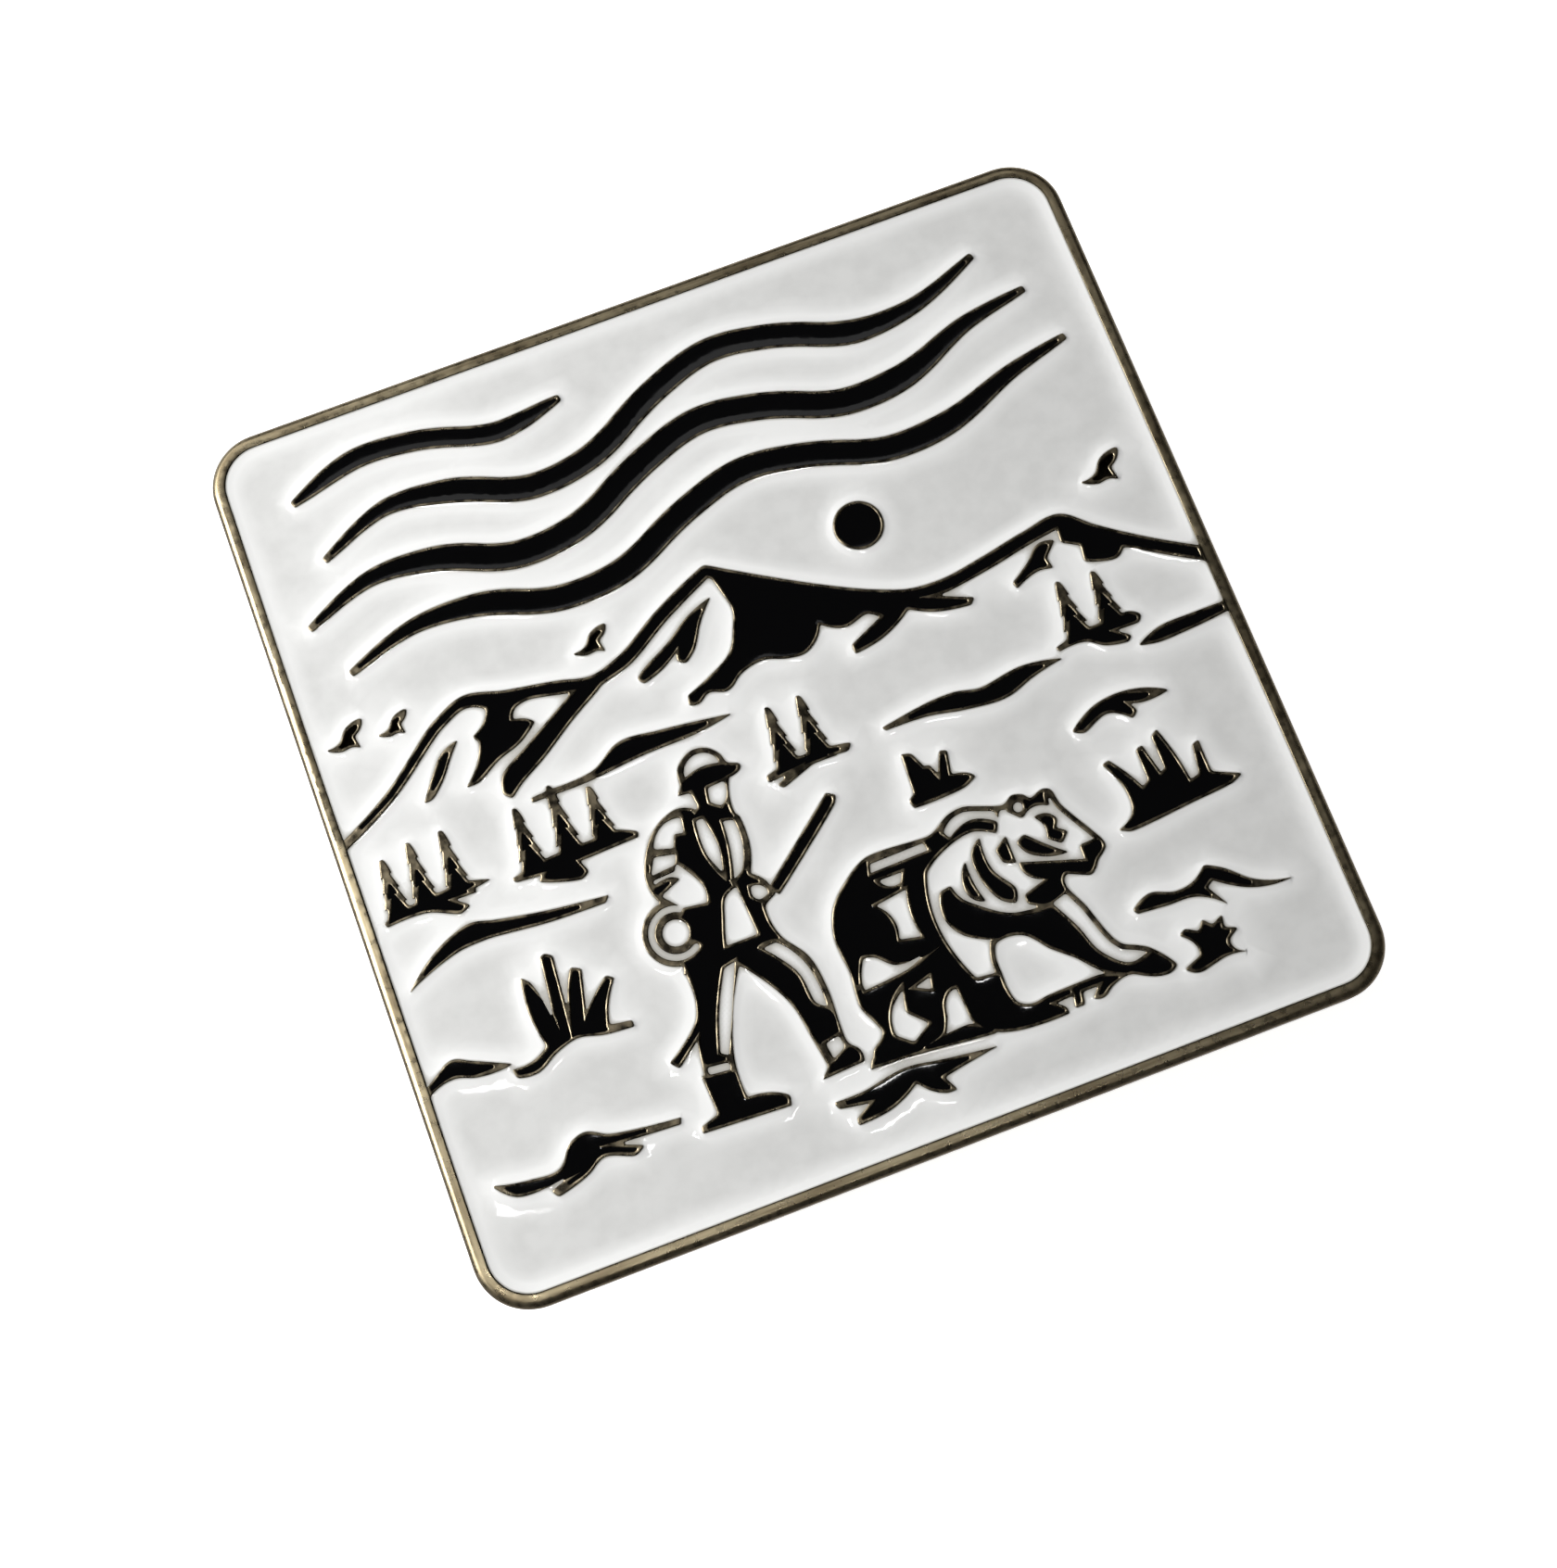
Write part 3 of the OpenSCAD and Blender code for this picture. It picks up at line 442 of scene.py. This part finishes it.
def triangulate(points, loops):
    edges = []
    at = 0
    for loop in loops:
        count = len(loop)
        edges += [(at + i, at + (i + 1) % count) for i in range(count)]
        at += count
    places, madeEdges, triangles, fromPoint, fromEdge, _ = delaunay_2d_cdt(
        [Vector(p) for p in points], edges, [], 0, 1e-7)
    walls = {tuple(sorted(e)) for e, source in zip(madeEdges, fromEdge) if source}
    beside = {}
    for t, triangle in enumerate(triangles):
        for a, b in zip(triangle, (*triangle[1:], triangle[0])):
            beside.setdefault(tuple(sorted((a, b))), []).append(t)
    region = [-1] * len(triangles)
    count = 0
    for start in range(len(triangles)):
        if region[start] >= 0:
            continue
        region[start] = count
        waiting = [start]
        while waiting:
            t = waiting.pop()
            triangle = triangles[t]
            for a, b in zip(triangle, (*triangle[1:], triangle[0])):
                edge = tuple(sorted((a, b)))
                if edge in walls:
                    continue
                for other in beside[edge]:
                    if region[other] < 0:
                        region[other] = count
                        waiting.append(other)
        count += 1
    return np.array(places), np.array(triangles), np.array(region), fromPoint


def faceOwners():
    points, faces, owner = [], [], []
    for name in ["badge_base", *enamelNodes]:
        mesh = nodes[name].data
        base = len(points)
        points += [v.co / mm for v in mesh.vertices]
        for polygon in mesh.polygons:
            faces.append([base + v for v in polygon.vertices])
            owner.append(name)
    return BVHTree.FromPolygons(points, faces), owner


cadTree, cadOwner = faceOwners()


def ownRegions(places, triangles, region):
    corners = places[triangles]
    side = corners[:, 1:] - corners[:, :1]
    area = np.abs(side[:, 0, 0] * side[:, 1, 1] - side[:, 0, 1] * side[:, 1, 0]) / 2
    middle = corners.mean(1)
    owners = {}
    for r in range(region.max() + 1):
        mine = np.where(region == r)[0]
        best = mine[np.argsort(-area[mine])[:7]]
        votes = {}
        for t in best:
            hit = cadTree.ray_cast(Vector((*middle[t], 5)), Vector((0, 0, -1)))
            found = None
            if hit[0] is not None:
                found = cadOwner[hit[2]]
                if found == "badge_base" and hit[0].z < rimTop - 0.1:
                    found = "gap"
            votes[found] = votes.get(found, 0) + area[t]
        owners[r] = max(votes, key=votes.get)
    return owners


class Plan:                             # the face cut into triangles, each with the node it belongs to
    def __init__(self, points, loops):
        self.places, self.triangles, self.region, sources = triangulate(points, loops)
        self.owners = ownRegions(self.places, self.triangles, self.region)
        self.line = np.array([min(f, default=-1) for f in sources])      # which outline point each one is
        self.line[self.line >= len(linePoints)] = -1

    def cut(self, *names):
        chosen = self.triangles[np.isin(self.region, [r for r, o in self.owners.items() if o in names])]
        used, index = np.unique(chosen, return_inverse=True)
        return used, index.reshape(-1, 3)


plan = Plan(np.concatenate([linePoints, np.array(extra)]), loops)
floorPlan = Plan(linePoints, loops)
places, triangles, region, owners = plan.places, plan.triangles, plan.region, plan.owners
print("triangles:", len(triangles), "regions:", region.max() + 1, round(time.time() - startTime, 1), "s")
print({o: sum(1 for v in owners.values() if v == o) for o in set(owners.values())})


def capillary(places, triangles, region, owners):
    # height share u of the creeping enamel: 1 at the metal, dying away over "reach"
    enamel = np.array([owners[r] in enamelNodes for r in region])
    t = triangles[enamel]
    count = len(places)
    a, b, c = places[t[:, 0]], places[t[:, 1]], places[t[:, 2]]
    double = np.maximum(np.abs((b - a)[:, 0] * (c - a)[:, 1] - (b - a)[:, 1] * (c - a)[:, 0]), 1e-9)
    pairs, weights = [], []
    for i, j, k in ((0, 1, 2), (1, 2, 0), (2, 0, 1)):
        toI, toJ = places[t[:, i]] - places[t[:, k]], places[t[:, j]] - places[t[:, k]]
        weights.append(np.clip((toI * toJ).sum(1) / double, 0.01, 20) / 2)
        pairs.append(t[:, (i, j)])
    pairs, weights = np.concatenate(pairs), np.concatenate(weights)
    mass = np.bincount(t.ravel(), np.repeat(double / 6, 3), count) / face["reach"] ** 2
    diagonal = mass + np.bincount(pairs[:, 0], weights, count) + np.bincount(pairs[:, 1], weights, count)
    diagonal[diagonal == 0] = 1
    fixed = plan.line >= 0
    u = fixed.astype(float)

    def apply(v):
        out = diagonal * v
        out -= np.bincount(pairs[:, 0], weights * v[pairs[:, 1]], count)
        out -= np.bincount(pairs[:, 1], weights * v[pairs[:, 0]], count)
        out[fixed] = 0
        return out

    rest = -apply(u)
    rest[fixed] = 0
    step = rest / diagonal
    way = step.copy()
    size = rest @ step
    for _ in range(160):                # conjugate gradients
        across = apply(way)
        share = size / (way @ across)
        u += share * way
        rest -= share * across
        step = rest / diagonal
        newSize = rest @ step
        if newSize < 1e-9:
            break
        way = step + newSize / size * way
        size = newSize
    return u, fixed


creepShare, onLine = capillary(places, triangles, region, owners)
print("enamel surface solved", round(time.time() - startTime, 1), "s")


edgeRound = {0: (face["rimRound"], 0.8), rimInner: (face["rimInnerRound"], 0.2)}   # radius, how steep


def metalSurface(places):
    heights = np.empty(len(places))
    normals = np.empty((len(places), 3))
    for i, (x, y) in enumerate(places):
        _, nearest, d = tree.find((x, y, 0))
        radius, steep = edgeRound.get(lineOf[nearest], (face["lineRound"], 0.8))
        left = max(0.0, radius - d)
        fall = math.sqrt(radius ** 2 - left ** 2)
        heights[i] = rimTop - (radius - fall) * steep
        slope = min(1.2, steep * left / max(fall, 1e-6))
        normals[i] = (*(-slope * metalWay[nearest]), 1)
    return heights, normals / np.linalg.norm(normals, axis=1)[:, None]


def rimEdges(tops):
    edges = {e for a, b, c in tops.tolist() for e in ((a, b), (b, c), (c, a))}
    return [(a, b) for a, b in edges if (b, a) not in edges]


def addFloor(shell, height, up, *names):
    used, tops = floorPlan.cut(*names)
    start = shell.add(np.column_stack([floorPlan.places[used], np.full(len(used), height)]), (0, 0, up))
    shell.faces += [tuple(start + v for v in (t if up > 0 else t[::-1])) for t in tops.tolist()]


def addBack(shell, previous):
    outline, outward = loops[0], -metalWay[:len(loops[0])]
    count = len(outline)
    order = range(count)
    for inset, height, tilt in face["backEdge"]:
        sideways = outward * math.cos(math.radians(tilt))
        start = shell.add(np.column_stack([outline - inset * outward, np.full(count, height)]),
                          np.column_stack([sideways, np.full(count, -math.sin(math.radians(tilt)))]))
        ring = [start + i for i in order]
        shell.faces += [(previous[i - 1], ring[i - 1], ring[i], previous[i]) for i in order]
        previous = ring
    inside = outline - inset * outward
    rounds = np.arange(64) / 64 * 2 * math.pi
    holes = []
    for node in ("left_solder", "right_solder"):
        (lowX, lowY, _), (highX, _, depth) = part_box(node)
        middle, radius = (lowX + highX) / 2 / mm, (highX - lowX) / 2 / mm
        holes.append(np.column_stack([middle + radius * np.cos(rounds), radius * np.sin(rounds)]))
    flat, tops, cells, _ = triangulate(np.concatenate([inside, *holes]), [inside, *holes])
    middles = flat[tops].mean(1)
    away = np.min([np.hypot(*(middles - hole.mean(0)).T) for hole in holes], axis=0)
    biggest = max(range(cells.max() + 1),
                  key=lambda r: np.ptp(middles[cells == r][:, 0], axis=0) * (cells == r).sum())
    chosen = tops[(cells == biggest) & (away > radius * 0.95)]
    start = shell.add(np.column_stack([flat, np.zeros(len(flat))]), (0, 0, -1))
    shell.faces += [tuple(start + v for v in t[::-1]) for t in chosen.tolist()]
    for hole in holes:
        middle, depthHere = hole.mean(0), depth / mm
        inward = np.column_stack([middle - hole, np.zeros(len(hole))]) / radius
        low = shell.add(np.column_stack([hole, np.zeros(len(hole))]), inward)
        high = shell.add(np.column_stack([hole, np.full(len(hole), depthHere)]), inward)
        cap = shell.add([*((*p, depthHere) for p in hole), (*middle, depthHere)], (0, 0, -1))
        for i in range(64):
            j = (i + 1) % 64
            shell.faces.append((low + i, low + j, high + j, high + i))
            shell.faces.append((cap + j, cap + i, cap + 64))


def makeBadge():
    shell = Shell()
    used, tops = plan.cut("badge_base")
    heights, normals = metalSurface(places[used])
    points = np.column_stack([places[used], heights])
    shell.add(points, normals)
    shell.faces += [tuple(t) for t in tops.tolist()]
    line = plan.line[used]
    ways = -metalWay[line]
    edges = rimEdges(tops)
    outer = [e for e in edges if line[e[0]] < len(loops[0]) and line[e[1]] < len(loops[0])]
    shell.skirt([e for e in edges if e not in set(outer)], points, ways, face["floor"])
    low = shell.skirt(outer, points, ways, face["backEdge"][0][1])
    byLine = {line[v]: i for v, i in low.items()}
    addBack(shell, [byLine[i] for i in range(len(loops[0]))])
    addFloor(shell, face["floor"], 1, *enamelNodes, "gap")
    badge = meshPiece("struckBadge", np.array(shell.points) * mm, shell.faces, plating, normals=shell.normals)
    return finishPiece(badge, "badge", "antique_metal", "badge_base")


def makeEnamel(name, material, slotName, creep):
    shell = Shell()
    used, tops = plan.cut(name)
    x, y = places[used].T
    wave = 0.005 * np.sin(x * 0.9 + 1.3) * np.cos(y * 0.7 + x * 0.3)
    share = creepShare[used]
    points = np.column_stack([x, y, rimTop - 0.045 - creep + creep * share + wave * (1 - share)])
    a, b, c = (points[tops[:, i]] for i in range(3))
    across = np.cross(b - a, c - a)
    normals = np.zeros_like(points)
    for i in range(3):
        np.add.at(normals, tops[:, i], across)
    shell.add(points, normals / np.linalg.norm(normals, axis=1)[:, None])
    shell.faces += [tuple(t) for t in tops.tolist()]
    shell.skirt(rimEdges(tops), points, metalWay[plan.line[used]], face["floor"])
    addFloor(shell, face["floor"], -1, name)
    pieceName = name.replace("_", "-")
    piece = meshPiece(pieceName, np.array(shell.points) * mm, shell.faces, material, normals=shell.normals)
    return finishPiece(piece, "badge", slotName, name)


badge = makeBadge()
print("badge:", len(badge.data.polygons), "faces", round(time.time() - startTime, 1), "s")
for name in enamelNodes:
    white = name in ("sky_enamel", "land_enamel", "hiker_white_enamel", "bear_white_enamel")
    if white:
        piece = makeEnamel(name, whiteEnamel, "white_enamel", face["creep"])
    else:
        piece = makeEnamel(name, blackEnamel, "black_enamel", face["blackCreep"])
    print(name, len(piece.data.polygons), "faces")


# back: posts, solder and clutches

backParts = {
    "turns": 96,                        # points round a lathed piece
    "softPost": 0.05,                   # radius of the edges of a post, mm
    "softCup": 0.11,
    "beadRise": 0.055,                  # how far the solder stands proud round the post
    "sheetEdge": 0.05,                  # worn edge of the stamped sheet
}


def roundProfile(profile, radius, steps=4):
    # the closed outline (r, z) with each corner turned into a short curve; a corner on the axis stays
    out = []
    p = np.array(profile, float)
    for i in range(len(p)):
        here, before, after = p[i], p[i - 1], p[(i + 1) % len(p)]
        back, ahead = before - here, after - here
        longBack, longAhead = np.hypot(*back), np.hypot(*ahead)
        cut = min(radius, 0.45 * longBack, 0.45 * longAhead)
        if here[0] < 1e-6:
            out.append(tuple(here))
            continue
        start, end = here + back / longBack * cut, here + ahead / longAhead * cut
        for k in range(steps + 1):
            t = k / steps
            out.append(tuple((1 - t) ** 2 * start + 2 * t * (1 - t) * here + t ** 2 * end))
    return out


def lathe(name, profile, middle, material):
    # profile goes round anticlockwise in (r, z), in mm; middle is the axis's x, y and the height of z = 0
    turns = backParts["turns"]
    points, faces, rings = [], [], []
    for r, z in profile:
        if r < 1e-6:
            rings.append([len(points)] * turns)
            points.append((middle[0], middle[1], middle[2] + z))
        else:
            rings.append(list(range(len(points), len(points) + turns)))
            points += [(middle[0] + r * math.cos(a), middle[1] + r * math.sin(a), middle[2] + z)
                       for a in np.arange(turns) / turns * 2 * math.pi]
    for i, ring in enumerate(rings):
        after = rings[(i + 1) % len(rings)]
        if ring[0] == ring[1] and after[0] == after[1]:
            continue
        for j in range(turns):
            k = (j + 1) % turns
            quad = [ring[j], ring[k], after[k], after[j]]
            faces.append([v for n, v in enumerate(quad) if v not in quad[:n]])
    return meshPiece(name, np.array(points) * mm, faces, material, sharp=50)


post = {                                # sizes in mm, as in the CAD
    "r": 0.6,
    "point": 0.1,
    "tip": 1.3,                         # length of the pointed tip
    "waist": 0.39,                      # radius in the groove and in the ring cut
    "groove": 1.8,                      # from the point to the middle of the groove
    "cut": (-2.1, -2.6),                # heights between which the ring is cut
}


def makePost(side):
    (lowX, _, tip), (highX, _, top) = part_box(f"{side}_post")
    x, tip, top = (lowX + highX) / 2 / mm, tip / mm, top / mm
    flangeR, r, waist = (highX - lowX) / 2 / mm, post["r"], post["waist"]
    groove = tip + post["groove"]
    high, low = post["cut"]
    profile = [(0, top), (0, tip), (post["point"], tip), (r, tip + post["tip"]), (r, groove - 0.4),
               (waist, groove - 0.2), (waist, groove + 0.2), (r, groove + 0.4),
               (r, low), (waist, low), (waist, high), (r, high), (r, 0), (flangeR, 0), (flangeR, top)]
    piece = lathe(f"{side}-post", roundProfile(profile, backParts["softPost"]), (x, 0, 0), postMetal)
    return finishPiece(piece, "badge", "post_metal", f"{side}_post")


def makeSolder(side):
    (lowX, _, _), (highX, _, top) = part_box(f"{side}_solder")
    x, top, outer = (lowX + highX) / 2 / mm, top / mm, (highX - lowX) / 2 / mm
    rise = -backParts["beadRise"]
    profile = [(0.3, top), (0.3, 0), (0.62, 0), (0.62, 4 * rise), (0.72, 2.2 * rise),
               (0.95, 1.1 * rise), (1.4, 0.8 * rise), (outer - 0.12, rise),
               (outer - 0.03, 0.5 * rise), (outer, 0.02), (outer, top)]
    piece = lathe(f"{side}-solder", roundProfile(profile, 0.06), (x, 0, 0), dullSolder)
    return finishPiece(piece, "badge", "solder", f"{side}_solder")


cup = {"sheet": 0.3, "hole": 0.75, "lip": 1.1, "collar": 0.42}      # mm, as in the CAD


def makeCup(side):
    (lowX, _, low), (highX, _, high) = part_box(f"{side}_cup")
    x, cloth, tall, r = (lowX + highX) / 2 / mm, high / mm, (high - low) / mm, (highX - lowX) / 2 / mm
    sheet, hole, lip = cup["sheet"], cup["hole"], r - cup["lip"]
    collar = tall - cup["collar"]
    profile = [(hole, -collar), (hole, 0), (r, 0), (r, -tall), (lip, -tall), (lip, -tall + sheet),
               (r - sheet, -tall + sheet), (r - sheet, -sheet), (hole + sheet, -sheet),
               (hole + sheet, -collar)]
    soft = roundProfile(profile[::-1], backParts["softCup"], 5)
    piece = lathe(f"{side}-cup", soft, (x, 0, cloth), clutchBrass)
    return finishPiece(piece, f"{side}_clutch", "clutch_brass", f"{side}_cup")


def makeSheet(node, body):
    shape = bmesh.new()
    shape.from_mesh(nodes[node].data)
    bmesh.ops.remove_doubles(shape, verts=shape.verts, dist=1e-7)
    bmesh.ops.dissolve_limit(shape, angle_limit=math.radians(0.5), verts=shape.verts, edges=shape.edges)
    edges = [e for e in shape.edges if e.is_manifold and e.calc_face_angle() > math.radians(35)]
    bmesh.ops.bevel(shape, geom=edges, offset=backParts["sheetEdge"] * mm, segments=3, profile=0.5,
                    affect="EDGES", clamp_overlap=True)
    mesh = bpy.data.meshes.new(node.replace("_", "-"))
    shape.to_mesh(mesh)
    shape.free()
    mesh.shade_smooth()
    mesh.set_sharp_from_angle(angle=math.radians(40))
    piece = bpy.data.objects.new(mesh.name, mesh)
    bpy.context.scene.collection.objects.link(piece)
    mesh.materials.append(clutchBrass)
    flat = piece.modifiers.new("even flats", "WEIGHTED_NORMAL")
    flat.keep_sharp = True
    return finishPiece(piece, body, "clutch_brass", node)


for side in ("left", "right"):
    makePost(side)
    makeSolder(side)
    makeCup(side)
    makeSheet(f"{side}_spring", f"{side}_clip")
    makeSheet(f"{side}_wing_upper", f"{side}_upper_wing")
    makeSheet(f"{side}_wing_lower", f"{side}_lower_wing")
print("back made", round(time.time() - startTime, 1), "s")


# floor, lights and camera

stage = {
    "floorColour": (0.86, 0.86, 0.86),
    "floorGlow": 0.9,
    "roomLight": 0.03,
    "floorSize": 1.2,
}


def makeFloor():
    m = Nodes("paleFloor")
    m.put(Base_Color=(*stage["floorColour"], 1), Roughness=0.9, Emission_Color=(1, 1, 1, 1),
          Emission_Strength=stage["floorGlow"])
    m.shader.inputs["Specular IOR Level"].default_value = 0.0
    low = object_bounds()[0][2] - 0.00005
    far = stage["floorSize"] / 2
    corners = [(-far, -far, low), (far, -far, low), (far, far, low), (-far, far, low)]
    floor = meshPiece("floor", corners, [(0, 1, 2, 3)], m.material)


def addLight(name, place, aim, width, height, power, colour=(1, 1, 1)):
    data = bpy.data.lights.new(name, "AREA")
    data.shape = "RECTANGLE"
    data.size = width
    data.size_y = height
    data.energy = power
    data.color = colour
    light = bpy.data.objects.new(name, data)
    light.location = place
    light.rotation_euler = (Vector(aim) - Vector(place)).to_track_quat("-Z", "Y").to_euler()
    bpy.context.scene.collection.objects.link(light)
    return light


makeFloor()
world = bpy.data.worlds.new("room")
bpy.context.scene.world = world
world.use_nodes = True
world.node_tree.nodes["Background"].inputs["Color"].default_value = (1, 1, 1, 1)
world.node_tree.nodes["Background"].inputs["Strength"].default_value = stage["roomLight"]
addLight("keyLight", (-0.125, 0.045, 0.115), (0, 0, 0), 0.10, 0.10, 0.36)
addLight("skyLight", (-0.16, 0.24, 0.24), (0, 0, 0), 0.2, 0.2, 0.22)
addLight("topStrip", (0.0, 0.24, 0.36), (0, 0, 0), 0.45, 0.10, 0.09)
addLight("spark", (-0.085, -0.022, 0.40), (0, 0, 0), 0.02, 0.02, 0.06)
addLight("longSpark", (0.02, -0.05, 0.40), (0, 0, 0), 0.04, 0.008, 0.04)

camera = bpy.data.objects.new("camera", bpy.data.cameras.new("camera"))
bpy.context.scene.collection.objects.link(camera)
camera.data.sensor_fit = "HORIZONTAL"
camera.data.sensor_width = 36
camera.data.lens = 51.43
camera.data.clip_start = 0.002
camera.data.clip_end = 10
right, up, back = (0.9357, -0.3518, -0.0252), (0.3488, 0.9125, 0.2139), (-0.0522, -0.2089, 0.9765)
turn = Matrix((right, up, back)).transposed().to_4x4()
camera.matrix_world = Matrix.Translation((-0.00593, -0.02172, 0.08918)) @ turn
bpy.context.scene.camera = camera
print("scene ready", round(time.time() - startTime, 1), "s")
